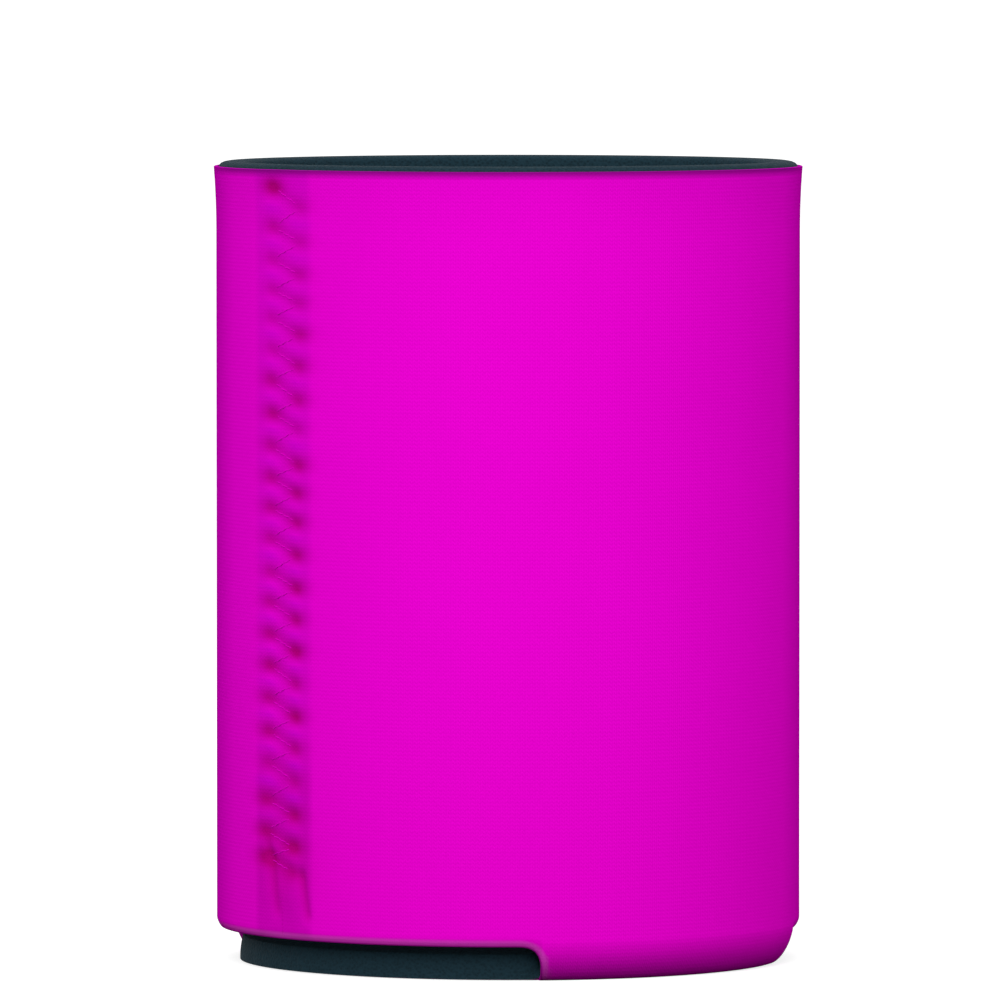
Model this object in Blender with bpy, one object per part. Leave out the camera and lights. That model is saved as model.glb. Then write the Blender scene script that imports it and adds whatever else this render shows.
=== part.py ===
"""A can cooler sleeve: one sheet of foam with a knitted face, folded into a cup and sewn up two sides.

Metres, +Z up. The origin is the centre of the base's underside, on which the sleeve stands.
The two sewn seams lie on the X axis. The two necks, where the panels fold into the base, lie on the Y axis.
Angles round the sleeve are measured from +X, which is the right seam.
"""

import math

import bmesh
import bpy
import numpy as np

# Overall sizes
HEIGHT = 0.1018  # from the underside to the foam's crown
OUTER_RADIUS = 0.03715  # of the knitted face on the wall
FOAM_THICKNESS = 0.0033
FACE_THICKNESS = 0.0005
LAYER_GAP = 0.0003  # between the face's back and the foam

# Rim
CROWN = 0.0007  # height of bare foam above the face's edge
SHOULDER_HEIGHT = 0.0010  # rounding of the foam's outer top corner
SHOULDER_WIDTH = 0.0014
INNER_CORNER = 0.0008  # rounding of the foam's inner top corner
FACE_EDGE_CORNER = 0.0002
RIM_FLARE = 0.00038  # how far the mouth opens outwards
FLARE_LENGTH = 0.009

# Base and its folds
FOLD_REACH = 0.00295  # how far the base's edge lies inside the wall's face
FOLD_HEIGHT = 0.0050  # height over which a neck bends from base to wall
FLOOR_CORNER = 0.0010  # radius inside, between floor and wall

# Cutouts, one under each seam
CUTOUT_HALF_ANGLE = math.radians(57.3)
CUTOUT_CORNER = 0.0026  # length of the rounding at each end of a cutout
CORNER_POWER = 3  # 2 rounds that end as an ellipse does, and more makes it squarer
PANEL_EDGE = 0.0042  # height of a panel's free lower edge
CURL_HEIGHT = 0.0013  # height over which that edge curls inwards
CURL_REACH = 0.0018  # how far in the curl would go if it weren't cut off at the edge
FOAM_EDGE_HEIGHT = 0.0032  # height of the base's bare edge
FACE_SETBACK = 0.0008  # of the face's edge under that bare edge
EDGE_SLOPE_WIDTH = 0.0022  # the floor slopes down to that edge over this width

# Seams
SEAM_OPENING = 0.0003  # between the two butted panel edges
GROOVE_HALF_WIDTH = 0.0062
GROOVE_DEPTH = 0.0008  # how far the stitches draw the face in
STITCH_WIDTH = 0.0057
STITCH_PITCH = 0.0040
THREAD_DIAMETER = 0.0005
FIRST_STITCH = 0.0126  # height of the lowest needle hole
LAST_STITCH_DROP = 0.0028  # from the crown down to the highest needle hole

# Fineness of the meshes
SEAM_STEPS = 3
CUTOUT_STEPS = 7
CORNER_STEPS = 4
NECK_STEPS = 5
FOLD_STEPS = 7
EDGE_STEPS = 2
ARC_STEPS = 2
THREAD_SIDES = 6
THREAD_STEPS = 2  # from one needle hole to the next
SHARP_ANGLE = math.radians(35)  # faces that meet at more than this are shaded apart
MERGE_DISTANCE = 0.000001

# How far a cutter reaches past what it cuts
OVERCUT = 0.0020
TRIM = 0.00005  # keeps a cutter's face off the face beside it
END_SHARE = 0.15  # of its height that a cutout keeps at its very ends

FOAM_DEPTH = FACE_THICKNESS + LAYER_GAP
WALL = FOAM_DEPTH + FOAM_THICKNESS
INNER_RADIUS = OUTER_RADIUS - WALL
BASE_RADIUS = OUTER_RADIUS - FOLD_REACH
CORNER_ANGLE = CUTOUT_CORNER / OUTER_RADIUS
GROOVE_ANGLE = GROOVE_HALF_WIDTH / OUTER_RADIUS
SEAM_SIDES = {"right": 0.0, "left": math.pi}

MAGENTA = (0.79, 0.0, 0.58, 1.0)
THREAD_MAGENTA = (0.70, 0.0, 0.50, 1.0)
FOAM_BLACK = (0.014, 0.016, 0.020, 1.0)


def clear_scene():
    """Removes what the file holds at the start."""
    for thing in list(bpy.data.objects):
        bpy.data.objects.remove(thing, do_unlink=True)


def material(name, colour, roughness):
    """A plain finish of one colour."""
    finish = bpy.data.materials.new(name)
    finish.use_nodes = True
    shader = finish.node_tree.nodes["Principled BSDF"]
    shader.inputs["Base Color"].default_value = colour
    shader.inputs["Roughness"].default_value = roughness
    shader.inputs["Metallic"].default_value = 0.0
    finish.diffuse_color = colour
    return finish


def magenta_knit():
    """The face's knitted polyester."""
    return material("magenta_knit", MAGENTA, 0.75)


def magenta_thread():
    """The sewing thread, dyed to match the face."""
    return material("magenta_thread", THREAD_MAGENTA, 0.5)


def black_foam():
    """The black closed-cell foam."""
    return material("black_foam", FOAM_BLACK, 0.9)


def new_object(name, points, faces, finish=None):
    """A mesh object with merged points and outward faces."""
    mesh = bpy.data.meshes.new(name)
    mesh.from_pydata(np.asarray(points).tolist(), [], faces)
    shell = bmesh.new()
    shell.from_mesh(mesh)
    bmesh.ops.remove_doubles(shell, verts=shell.verts, dist=MERGE_DISTANCE)
    bmesh.ops.recalc_face_normals(shell, faces=shell.faces)
    shell.to_mesh(mesh)
    shell.free()
    made = bpy.data.objects.new(name, mesh)
    bpy.context.scene.collection.objects.link(made)
    if finish:
        mesh.materials.append(finish)
        mesh.shade_smooth()
        mesh.set_sharp_from_angle(angle=SHARP_ANGLE)
    return made


def ring_angles():
    """The angles of the sections round the sleeve, closer together at the seams and the cutouts' ends."""
    corner_start = CUTOUT_HALF_ANGLE - CORNER_ANGLE
    rounding = np.linspace(0, math.pi / 2, CORNER_STEPS + 1)
    quarter = np.concatenate(
        (
            np.linspace(0, GROOVE_ANGLE, SEAM_STEPS, endpoint=False),
            np.linspace(GROOVE_ANGLE, corner_start, CUTOUT_STEPS, endpoint=False),
            corner_start + CORNER_ANGLE * np.sin(rounding[:-1]),
            np.linspace(CUTOUT_HALF_ANGLE, math.pi / 2, NECK_STEPS, endpoint=False),
        )
    )
    half = np.concatenate((quarter, [math.pi / 2], math.pi - quarter[:0:-1]))
    return np.concatenate((half, half + math.pi))


def from_seam(angles):
    """The angle from each section to the nearest seam."""
    return np.arccos(np.abs(np.cos(angles)))


def groove(angles):
    """How deep in the seam's groove each section is: a raised cosine, 1 on the seam and 0 at its sides."""
    share = np.minimum(from_seam(angles) / GROOVE_ANGLE, 1)
    return (1 + np.cos(math.pi * share)) / 2


def cutout(angles):
    """How far each section is opened by a cutout: 1 along it, and 0 past its rounded end."""
    past = (from_seam(angles) - CUTOUT_HALF_ANGLE + CORNER_ANGLE) / CORNER_ANGLE
    return (1 - np.clip(past, 0, 1) ** CORNER_POWER) ** (1 / CORNER_POWER)


def flare(z):
    """How far the wall leans out at a height: with the square of the way up the last stretch."""
    return RIM_FLARE * np.clip((z - HEIGHT + FLARE_LENGTH) / FLARE_LENGTH, 0, 1) ** 2


def arc(centre, reach, rise, start, end, steps):
    """Points of an ellipse arc in a section: centre plus reach times the sine and rise times the cosine."""
    turn = np.linspace(start, end, steps + 1)
    return np.stack((centre[0] + reach * np.sin(turn), centre[1] + rise * np.cos(turn)), axis=1)


def level_stretch(depth):
    """Height of the stretch between the base's edge and a panel's curl, just low enough to be cut away."""
    return PANEL_EDGE + depth - FACE_THICKNESS - TRIM


def folded_rows(depth, edge_radius):
    """The stretch from base to wall at a neck and at a cutout, as two point lists of one length.

    At a cutout it stands up at the base's edge, goes out level and curls up into the panel. The notch
    cutters take that level stretch away.
    """
    steps = FOLD_STEPS + EDGE_STEPS
    rise = FOLD_HEIGHT - depth
    neck = arc((BASE_RADIUS, FOLD_HEIGHT), FOLD_REACH - depth, rise, math.pi, math.pi / 2, steps)
    level = level_stretch(depth)
    edge = np.stack((np.full(EDGE_STEPS, edge_radius), np.linspace(depth, level, EDGE_STEPS)), axis=1)
    curl_top = PANEL_EDGE + CURL_HEIGHT
    curl_centre = (OUTER_RADIUS - CURL_REACH, curl_top)
    curl = arc(curl_centre, CURL_REACH - depth, curl_top - level, math.pi, math.pi / 2, FOLD_STEPS)
    return neck, np.concatenate((edge, curl))


def outer_rows(angles, depth, edge_radius, top):
    """Rows of section points from the base's rim up the wall, this deep under the sleeve's skin."""
    neck, cut = folded_rows(depth, edge_radius)
    open_share = cutout(angles)[None, :, None]
    rows = neck[:, None, :] * (1 - open_share) + cut[:, None, :] * open_share
    on_wall = np.concatenate((np.zeros(EDGE_STEPS), np.sin(np.linspace(0, math.pi / 2, FOLD_STEPS + 1))))
    heights = np.array([FOLD_HEIGHT + CURL_HEIGHT, HEIGHT - FLARE_LENGTH, HEIGHT - FLARE_LENGTH / 2, top])
    wall = np.empty((len(heights), len(angles), 2))
    wall[:, :, 0] = (OUTER_RADIUS - depth + flare(heights))[:, None]
    wall[:, :, 1] = heights[:, None]
    rows = np.concatenate((rows, wall))
    drawn_in = np.concatenate((on_wall, np.ones(len(heights))))
    rows[:, :, 0] -= GROOVE_DEPTH * drawn_in[:, None] * groove(angles)[None, :]
    return rows


def turned(name, angles, rows, low_pole, high_pole, finish):
    """A closed cup: rows of section points carried round the axis, closed by a point on it at each end."""
    count = len(angles)
    x = rows[:, :, 0] * np.cos(angles)[None, :]
    y = rows[:, :, 0] * np.sin(angles)[None, :]
    grid = np.stack((x, y, rows[:, :, 1]), axis=2).reshape(-1, 3)
    points = np.concatenate((grid, [[0, 0, low_pole], [0, 0, high_pole]]))
    first = np.arange(count)
    second = (first + 1) % count
    faces = []
    for row in range(len(rows) - 1):
        low = row * count
        high = low + count
        faces += np.stack((low + first, low + second, high + second, high + first), axis=1).tolist()
    start = len(grid)
    last = start - count
    faces += np.stack((first * 0 + start, second, first), axis=1).tolist()
    faces += np.stack((first * 0 + start + 1, last + first, last + second), axis=1).tolist()
    return new_object(name, points, faces, finish)


def spread(points, angles):
    """The same section points at every angle."""
    return np.repeat(np.asarray(points)[:, None, :], len(angles), axis=1)


def notch_cutter(name, section, closing_height, half_angle, middle):
    """Cuts one cutout, to an angle each way. Its section keeps its radii and closes in height at its end."""
    corner = CUTOUT_HALF_ANGLE - CORNER_ANGLE - TRIM / OUTER_RADIUS
    rounding = CORNER_ANGLE * np.sin(np.linspace(0, math.pi / 2, CORNER_STEPS + 2))
    side = np.concatenate((np.linspace(0, corner, CUTOUT_STEPS + 2, endpoint=False), corner + rounding))
    side = np.append(side[side < half_angle], half_angle)
    angles = np.concatenate((-side[:0:-1], side))
    section = np.asarray(section)
    share = np.maximum(cutout(angles), END_SHARE)
    heights = closing_height + (section[:, None, 1] - closing_height) * share[None, :]
    radii = np.repeat(section[:, 0, None], len(angles), axis=1)
    x = radii * np.cos(angles + middle)
    y = radii * np.sin(angles + middle)
    sides = len(section)
    count = len(angles)
    points = np.stack((x, y, heights), axis=2).transpose(1, 0, 2).reshape(-1, 3)
    faces = []
    for step in range(count - 1):
        low = step * sides
        high = low + sides
        faces += [
            (low + side, low + (side + 1) % sides, high + (side + 1) % sides, high + side)
            for side in range(sides)
        ]
    faces.append(tuple(range(sides)))
    faces.append(tuple((count - 1) * sides + side for side in reversed(range(sides))))
    return hidden(new_object(name, points, faces))


def hidden(cutter):
    """Marks an object as a cutter, which is no part of the sleeve."""
    cutter.hide_render = True
    cutter.display_type = "WIRE"
    return cutter


def seam_cutter(name, middle):
    """A thin slab through one wall, which parts the two panels' edges."""
    half_width = SEAM_OPENING / 2
    under_the_panel = (FOAM_EDGE_HEIGHT + PANEL_EDGE) / 2 + SEAM_OPENING
    low = (INNER_RADIUS - FLOOR_CORNER + SEAM_OPENING, -half_width, under_the_panel)
    high = (OUTER_RADIUS + OVERCUT, half_width, HEIGHT + OVERCUT)
    slab = bmesh.new()
    bmesh.ops.create_cube(slab, size=1.0)
    for corner in slab.verts:
        corner.co = [high[i] if corner.co[i] > 0 else low[i] for i in range(3)]
    mesh = bpy.data.meshes.new(name)
    slab.to_mesh(mesh)
    slab.free()
    made = bpy.data.objects.new(name, mesh)
    made.rotation_euler = (0, 0, middle)
    bpy.context.scene.collection.objects.link(made)
    return hidden(made)


def cut(target, cutters):
    """Takes each cutter away. The MANIFOLD solver does it, because EXACT leaves the foam empty."""
    for cutter in cutters:
        step = target.modifiers.new(cutter.name, "BOOLEAN")
        step.operation = "DIFFERENCE"
        step.solver = "MANIFOLD"
        step.object = cutter


def foam_section(angles):
    """Rows of the foam from the floor, up inside, over the rim, down outside and under the base."""
    inner_drawn = GROOVE_DEPTH * groove(angles)
    corner = (INNER_RADIUS - FLOOR_CORNER, WALL + FLOOR_CORNER)
    floor_corner = arc(corner, FLOOR_CORNER, FLOOR_CORNER, math.pi, math.pi / 2, ARC_STEPS)
    rim_low = HEIGHT - INNER_CORNER
    rim_inside = arc(
        (INNER_RADIUS + INNER_CORNER, rim_low), -INNER_CORNER, INNER_CORNER, math.pi / 2, 0, ARC_STEPS
    )
    inside = spread(np.concatenate((floor_corner, rim_inside)), angles)
    inside[:, :, 0] += flare(inside[:, :, 1])
    inside[ARC_STEPS:, :, 0] += inner_drawn
    top = HEIGHT - SHOULDER_HEIGHT
    outside = outer_rows(angles, FOAM_DEPTH, BASE_RADIUS, top)
    shoulder = arc((-SHOULDER_WIDTH, top), SHOULDER_WIDTH, SHOULDER_HEIGHT, 0, math.pi / 2, ARC_STEPS)
    shoulder = spread(shoulder[:-1], angles)
    shoulder[:, :, 0] += outside[-1:, :, 0]
    return np.concatenate((inside, shoulder, outside[::-1]))


def foam_body(finish):
    """The folded foam: panels, necks and base in one piece, cut out and parted at each seam."""
    angles = ring_angles()
    body = turned("foam_body", angles, foam_section(angles), WALL, FOAM_DEPTH, finish)
    inner = INNER_RADIUS - EDGE_SLOPE_WIDTH
    outer = OUTER_RADIUS + OVERCUT
    ceiling = level_stretch(FOAM_DEPTH) + TRIM
    section = [
        (inner, WALL + TRIM),
        (BASE_RADIUS - FLOOR_CORNER, FOAM_EDGE_HEIGHT + TRIM),
        (BASE_RADIUS, FOAM_EDGE_HEIGHT),
        (outer, FOAM_EDGE_HEIGHT),
        (outer, ceiling),
        (inner, ceiling + TRIM),
    ]
    closing = (FOAM_EDGE_HEIGHT + ceiling) / 2
    end = CUTOUT_HALF_ANGLE - CORNER_ANGLE / 2
    sides = SEAM_SIDES.items()
    cutters = [notch_cutter(f"foam_{side}_notch", section, closing, end, at) for side, at in sides]
    return body, cutters


def face_section(angles):
    """Rows of the knitted face: up its outer side, over its top edge and down its back."""
    top = HEIGHT - CROWN
    edge_radius = BASE_RADIUS - FACE_SETBACK
    outside = outer_rows(angles, 0.0, edge_radius, top - FACE_EDGE_CORNER)
    back = outer_rows(angles, FACE_THICKNESS, edge_radius - FACE_THICKNESS, top)
    edge = outside[-1:].copy()
    edge[:, :, 0] -= FACE_EDGE_CORNER
    edge[:, :, 1] = top
    return np.concatenate((outside, edge, back[::-1]))


def face_fabric(finish):
    """The knitted face, a thin skin outside the foam that ends at the same cut edges."""
    angles = ring_angles()
    face = turned("face_fabric", angles, face_section(angles), 0.0, FACE_THICKNESS, finish)
    inner = BASE_RADIUS - FACE_SETBACK - OVERCUT
    outer = OUTER_RADIUS + OVERCUT
    low = FACE_THICKNESS + TRIM
    section = [(inner, low), (outer, low), (outer, PANEL_EDGE), (inner, PANEL_EDGE)]
    end = CUTOUT_HALF_ANGLE - TRIM / OUTER_RADIUS
    sides = SEAM_SIDES.items()
    cutters = [notch_cutter(f"face_{side}_notch", section, low, end, at) for side, at in sides]
    return face, cutters


def stitch_route(surface, outwards, middle):
    """A zigzag thread's centre line: it crosses the seam from hole to hole, just off the surface."""
    stand_off = LAYER_GAP + THREAD_DIAMETER / 2
    holes = int((HEIGHT - LAST_STITCH_DROP - FIRST_STITCH) / (STITCH_PITCH / 2)) + 1
    along = np.linspace(0, holes - 1, (holes - 1) * THREAD_STEPS + 1)
    z = FIRST_STITCH + along * STITCH_PITCH / 2
    zigzag = 2 * np.abs(along % 2 - 1) - 1
    angles = zigzag * STITCH_WIDTH / 2 / OUTER_RADIUS
    radii = surface + flare(z) + outwards * (stand_off - GROOVE_DEPTH * groove(angles))
    return np.stack((radii * np.cos(angles + middle), radii * np.sin(angles + middle), z), axis=1)


def thread(name, route, finish):
    """A round thread: a ring of points carried along the route, square to it, with flat ends."""
    along = np.gradient(route, axis=0)
    along /= np.linalg.norm(along, axis=1)[:, None]
    outwards = route * (1, 1, 0)
    outwards /= np.linalg.norm(outwards, axis=1)[:, None]
    across = np.cross(along, outwards)
    across /= np.linalg.norm(across, axis=1)[:, None]
    lift = np.cross(across, along)
    turn = np.arange(THREAD_SIDES) * 2 * math.pi / THREAD_SIDES
    ring = across[:, None] * np.cos(turn)[None, :, None] + lift[:, None] * np.sin(turn)[None, :, None]
    points = (route[:, None] + THREAD_DIAMETER / 2 * ring).reshape(-1, 3)
    faces = []
    for step in range(len(route) - 1):
        low = step * THREAD_SIDES
        high = low + THREAD_SIDES
        for side in range(THREAD_SIDES):
            beside = (side + 1) % THREAD_SIDES
            faces.append((low + side, low + beside, high + beside, high + side))
    last = (len(route) - 1) * THREAD_SIDES
    faces.append(tuple(range(THREAD_SIDES)))
    faces.append(tuple(last + side for side in reversed(range(THREAD_SIDES))))
    return new_object(name, points, faces, finish)


def seam_threads(side, middle, finish):
    """The needle thread outside a seam and the bobbin thread inside it."""
    thread(f"{side}_seam_thread", stitch_route(OUTER_RADIUS, 1, middle), finish)
    thread(f"{side}_seam_bobbin_thread", stitch_route(INNER_RADIUS, -1, middle), finish)


def main():
    """Builds the sleeve."""
    clear_scene()
    foam, foam_notches = foam_body(black_foam())
    face, face_notches = face_fabric(magenta_knit())
    seams = [seam_cutter(f"{side}_seam_opening", middle) for side, middle in SEAM_SIDES.items()]
    cut(foam, foam_notches + seams)
    cut(face, face_notches + seams)
    thread_finish = magenta_thread()
    for side, middle in SEAM_SIDES.items():
        seam_threads(side, middle, thread_finish)


main()
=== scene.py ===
"""Looks of the can cooler sleeve: knitted face, foam, sewn seams, and the studio they stand in.

Metres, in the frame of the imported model: +Z up, seams on the X axis, necks on the Y axis.
Angles round the sleeve run counter-clockwise from +X, which is the right seam.
"""

import math

import bpy
import numpy as np
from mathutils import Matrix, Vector


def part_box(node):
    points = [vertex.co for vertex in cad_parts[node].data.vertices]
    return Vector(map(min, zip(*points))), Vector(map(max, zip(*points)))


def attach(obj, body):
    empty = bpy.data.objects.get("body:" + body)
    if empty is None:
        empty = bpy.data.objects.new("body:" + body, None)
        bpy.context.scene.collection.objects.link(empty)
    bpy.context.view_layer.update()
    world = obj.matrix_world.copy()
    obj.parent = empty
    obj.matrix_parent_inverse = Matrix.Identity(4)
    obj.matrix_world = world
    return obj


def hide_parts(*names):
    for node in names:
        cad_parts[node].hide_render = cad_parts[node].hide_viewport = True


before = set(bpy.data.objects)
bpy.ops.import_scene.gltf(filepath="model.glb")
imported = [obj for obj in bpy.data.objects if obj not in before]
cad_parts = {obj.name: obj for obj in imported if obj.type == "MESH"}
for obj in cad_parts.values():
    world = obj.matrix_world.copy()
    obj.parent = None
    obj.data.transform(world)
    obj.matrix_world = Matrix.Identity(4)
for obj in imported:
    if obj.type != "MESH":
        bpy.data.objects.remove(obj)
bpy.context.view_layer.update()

QUARTER_TURN = math.pi / 2
HALF_TURN = math.pi
FULL_TURN = 2 * math.pi

# Driving sizes: the solids' own, and the small ones a little closer to the photograph
FACE_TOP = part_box("face_fabric")[1].z
CROWN_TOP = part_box("foam_body")[1].z
OUTER_RADIUS = 0.03715
WALL = 0.0041
FACE_THICKNESS = 0.0005
LAYER_GAP = 0.00005  # the face is glued down on the foam
RIM_FLARE = 0.00038
FLARE_LENGTH = 0.009
SHOULDER_HEIGHT = 0.0010
INNER_CORNER = 0.0008
FOLD_REACH = 0.00295
FOLD_HEIGHT = 0.0050
FOLD_POWER = 1.6  # of the necks' fold: 1 is a straight slant, and 2 an ellipse
FLOOR_CORNER = 0.0010
CUTOUT_CORNER = 0.0034
CORNER_POWER = 3  # of the cutouts' ends: 2 is an ellipse, and more is squarer
PANEL_EDGE = 0.00435
CURL_HEIGHT = 0.0013
CURL_REACH = 0.0018
CURL_END = math.radians(45)  # where the curl is cut off, measured from straight down
RUN_START = 0.0002  # how far above the curl the wall's even rows end
FOAM_EDGE_HEIGHT = 0.0032
FACE_SETBACK = 0.0008

# Where the cutouts end, from their seams: the base is folded a little askew
CUTOUT_ENDS = (
    (math.radians(57.3), math.radians(58.0)),  # beside the neck at +Y: the right seam's, and the left's
    (math.radians(56.8), math.radians(52.6)),  # beside the neck at -Y: the left seam's, and the right's
)

FOAM_DEPTH = FACE_THICKNESS + LAYER_GAP
INNER_RADIUS = OUTER_RADIUS - WALL
BASE_RADIUS = OUTER_RADIUS - FOLD_REACH
CORNER_ANGLE = CUTOUT_CORNER / OUTER_RADIUS
CURL_TOP = PANEL_EDGE + CURL_HEIGHT
CURL_DROP = CURL_HEIGHT / math.cos(CURL_END)
WALL_END = CURL_TOP + RUN_START

# Cut edges
EDGE_ROLL = 0.0001  # height of the base's lower corner, which rolls down past the face's edge
EDGE_LEAN = 0.0004  # how far the base's upper corner lies inside its lower one
EDGE_BULGE = 0.00012
LIP_BAND = 0.0011  # how far from a panel's cut edge its face has painted shade and a painted highlight
LIP_FOAM_HEIGHT = 0.0051  # height of the panel's foam on its inner side, over a cutout
MOUTH_ROUNDING = 0.0001  # how far the face's edge at the mouth is rounded up
CROWN_POWER = 2.6  # of the foam's crown: 2 is an ellipse, and more is squarer
MOUTH_MARGIN = 0.0002  # how far under an edge at the mouth a point still belongs to it

# Seam stitches
SEAM_OPENING = 0.00001
OPEN_END = 0.00006  # the seam's opening below its lowest stitch
OPENING_REACH = 0.0005  # how far beside a seam the face steps aside for the opening
BAND_HALF_WIDTH = 0.0059
BAND_MARGIN = 0.0011  # how far past the band the close columns go on
RELIEF_MARGIN = 0.001  # how far past the band the relief starts to fade
RELIEF_FADE = 0.004
RELIEF_END = 0.3  # turn of the curl and the fold, from straight down, up to which the relief goes on
GROOVE_DEPTH = 0.00040
GROOVE_START = 0.003  # how far below the lowest stitch the groove starts to deepen
GROOVE_RISE = 0.004
LOW_GROOVE = 0.4  # share of its depth that the groove has below that
INNER_GROOVE = 0.0005
MOUTH_PULL = 0.70  # of the stitches near the mouth
PULL_GAIN = 0.38  # what the pull gains down to the base
PULL_TOP = 0.088
PULL_LENGTH = 0.050
STITCH_WIDTH = 0.0057
STITCH_PITCH = 0.0040
STITCH_DRIFT = 0.022  # how far the stitches wander across the seam for each metre up
FIRST_STITCH = 0.0126
LAST_STITCH_DROP = 0.0028
LOWERED_HOLES = (
    # By how much they lie lower than evenly spaced holes, round which height, and how far from it
    (0.0008, 0.0200, 0.0035),
    (0.0007, 0.0915, 0.0045),
)
RIGHT, LEFT = 0, 1  # the seams, in the order of whatever is listed for both
HOLE_SEEDS = (11, 23)
SCATTER_ACROSS = 0.00008
SCATTER_UP = 0.00014
HOLE_STRENGTHS = (0.5, 1.4)
TOP_HOLE_STRENGTH = 2.4
TOP_HOLE_SHIFT = 0.0005
DENT_DEPTH = 0.00012
DENT_HEIGHT = 0.00088
DENT_STRETCH = 1.8  # how much wider than high a dent is
RIPPLE = 0.00005  # height of the ridges between the tight legs of the zigzag
RIPPLE_HALF_WIDTH = 0.0022
RIPPLE_FADE = 0.0018
PUFF = 0.00005  # height of the puffs between two holes of one side
PUFF_HEIGHT = 0.00085
CHANNEL_DEPTH = 0.00004  # how far a thread sinks in along its leg
CHANNEL_WIDTH = 0.00060

# Under a seam's lowest stitch, where a place is a distance to the seam's side and a height
CREASES = (
    # From one place to another, and how wide and how strong
    ((-0.0031, 0.0162), (-0.0012, 0.0080), 0.0006, 0.8),
    ((0.0037, 0.0125), (0.0047, 0.0075), 0.0005, 1.0),
)
CREASE_DEPTH = 0.00030
LOW_PUFF = 0.00020
LOW_PUFF_PLACE = (0.0020, 0.0100)
LOW_PUFF_WIDTH = 0.0010
LOW_PUFF_STRETCH = 2.4  # how much higher than wide it is
LOW_SHADE_HEIGHT = 0.0128
LOW_SHADE_SIZE = 0.0030
LOW_SHADE_STRETCH = 1.2  # how much wider than high it is

# What each form beside a seam adds to the tone, which is painted shade in the hollows, or takes from it
RIPPLE_TONE = 0.06
DENT_TONE = 0.60
PUFF_TONE = 0.16
CHANNEL_TONE = 0.20
CREASE_TONE = 0.36
LOW_PUFF_TONE = 0.05
LOW_SHADE_TONE = 0.30

# Threads
THREAD_DIAMETER = 0.00024
THREAD_SUNK = 0.20  # share of its thickness by which a needle thread lies in the knit
THREAD_DIP = 2.4  # how many thicknesses a thread goes under the surface at a hole
DIP_REACH = 0.08  # how far from a hole it dips, as a share of the way to the next
PLY_SIDES = 8
PLY_STEPS = 14  # points of a ply between two needle holes
PLY_TURNS = 2.4  # turns of the two plies round each other between two needle holes
PLY_SWELL = 1.12  # a ply's thickness over half of the thread's

# Fineness
SHARP_ANGLE = math.radians(50)
WELD_STEP = 1e-6  # points that round to the same multiple of it are one
RUN_ROWS = 3
CURL_ROWS = 10
STRIP_ROWS = 5
STRIP_TURN = math.radians(20)  # the neck's last stretch down to the base, which a cutout's end runs along
RING_SHARES = np.array([0.012, 0.03, 0.06, 0.12, 0.25, 0.42, 0.62, 0.82])
UNDERSIDE_LEVEL = 0.03  # share of the radius within which the surfaces come level
FLOOR_LEVEL = 0.06

# The photograph's view
VIEW_AZIMUTH = math.radians(-39.8)
VIEW_DISTANCE = 1.690
VIEW_HEIGHT = 0.1385
VIEW_TARGET_HEIGHT = 0.05855
VIEW_SIDE_STEP = 0.00104
VIEW_LENS = 478.0

# Colours
WHITE = (1.0, 1.0, 1.0)
MAGENTA = (0.80, 0.0010, 0.62)
MAGENTA_DARK = (0.67, 0.0006, 0.51)
MAGENTA_DEEP = (0.44, 0.0, 0.20)
MAGENTA_BAND = (0.64, 0.0008, 0.55)
MAGENTA_VIOLET = (0.58, 0.0004, 0.64)
MAGENTA_LOW = (0.70, 0.0006, 0.48)
MAGENTA_SHADE = (0.50, 0.0, 0.40)
# Painted highlight beside the cut edges, and painted shadow at the cut edges, the mouth and the necks' base
MAGENTA_PALE = (0.62, 0.10, 0.50)
MAGENTA_PAINTED_SHADOW = (0.17, 0.003, 0.16)
THREAD_MAGENTA = (0.70, 0.0008, 0.54)
THREAD_SHADE = (0.60, 0.0005, 0.46)
GLOSS_MAGENTA = (1.0, 0.0, 0.75)
FOAM_BLACK = (0.0075, 0.0250, 0.0360)
FOAM_PORE = (0.0020, 0.007, 0.010)

# The knit's loops
WALE_WIDTH = 0.00062
COURSE_HEIGHT = 0.00048
LOOP_SLANT = 1.3  # courses that a loop's foot falls for each wale across
LOOP_LEAST = 0.35  # share of its height that a loop has at its wale's borders and middle
FUZZ_SHARE = 0.8
MOTTLE_START = 0.42
MOTTLE_SHARE = 0.35
# share of the painted shade in the valleys between the knit's loops
LOOP_SHADE_SHARE = 0.06

# Where the knit changes colour: mostly painted shade, a painted highlight, and violet on puffs
BAND_FADE = 0.0020  # width over which the band beside a seam darkens with painted shade
BAND_SHARE = 0.62
LOW_BAND_TOP = 0.031  # the band's painted shade is darker still below this height
LOW_BAND_FADE = 0.008
LOW_WALL = 0.045  # height below which the wall gets a little painted shade
LOW_WALL_SHARE = 0.40
VIOLET_RATE = 3.0
# Painted highlight beside the cut edges, and painted shade on them
LIP_PALE = 0.42
LIP_DARK_START = 0.72
LIP_DARK_RATE = 3.4
MOUTH_SHADE = 0.0010  # height over which painted shade darkens the face up to its edge
MOUTH_SHARE = 0.9
BASE_SHADE = 0.0036  # height below which painted shade darkens a neck down to the base
BASE_SHARE = 0.42
RIM_FADE = 0.001  # width over which that shade ends at the base's rim
GRAZING_START = 0.66  # painted shade where the face is seen at a slant, towards its outlines
GRAZING_RATE = 2.5

# The cut foam's cells
CELL_SCALE = 2600
PORE_SLOPE = 1.6
PORE_SHARE = 0.6
UNEVENNESS = 1.5

# The studio
FLOOR_HALF_WIDTH = 12.0
FLOOR_DROP = 0.00002  # how far the floor lies under the base
FLOOR_GREY = 0.50  # as the camera sees it
FLOOR_BOUNCE = 0.04  # as its light on the sleeve counts it
FLOOR_GLOW = 0.70
ROOM_FILL = 0.86


def seam_distance(angle):
    """Signed distance along the face from an angle to its nearest seam, positive counter-clockwise."""
    return OUTER_RADIUS * (np.mod(angle + QUARTER_TURN, HALF_TURN) - QUARTER_TURN)


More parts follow.
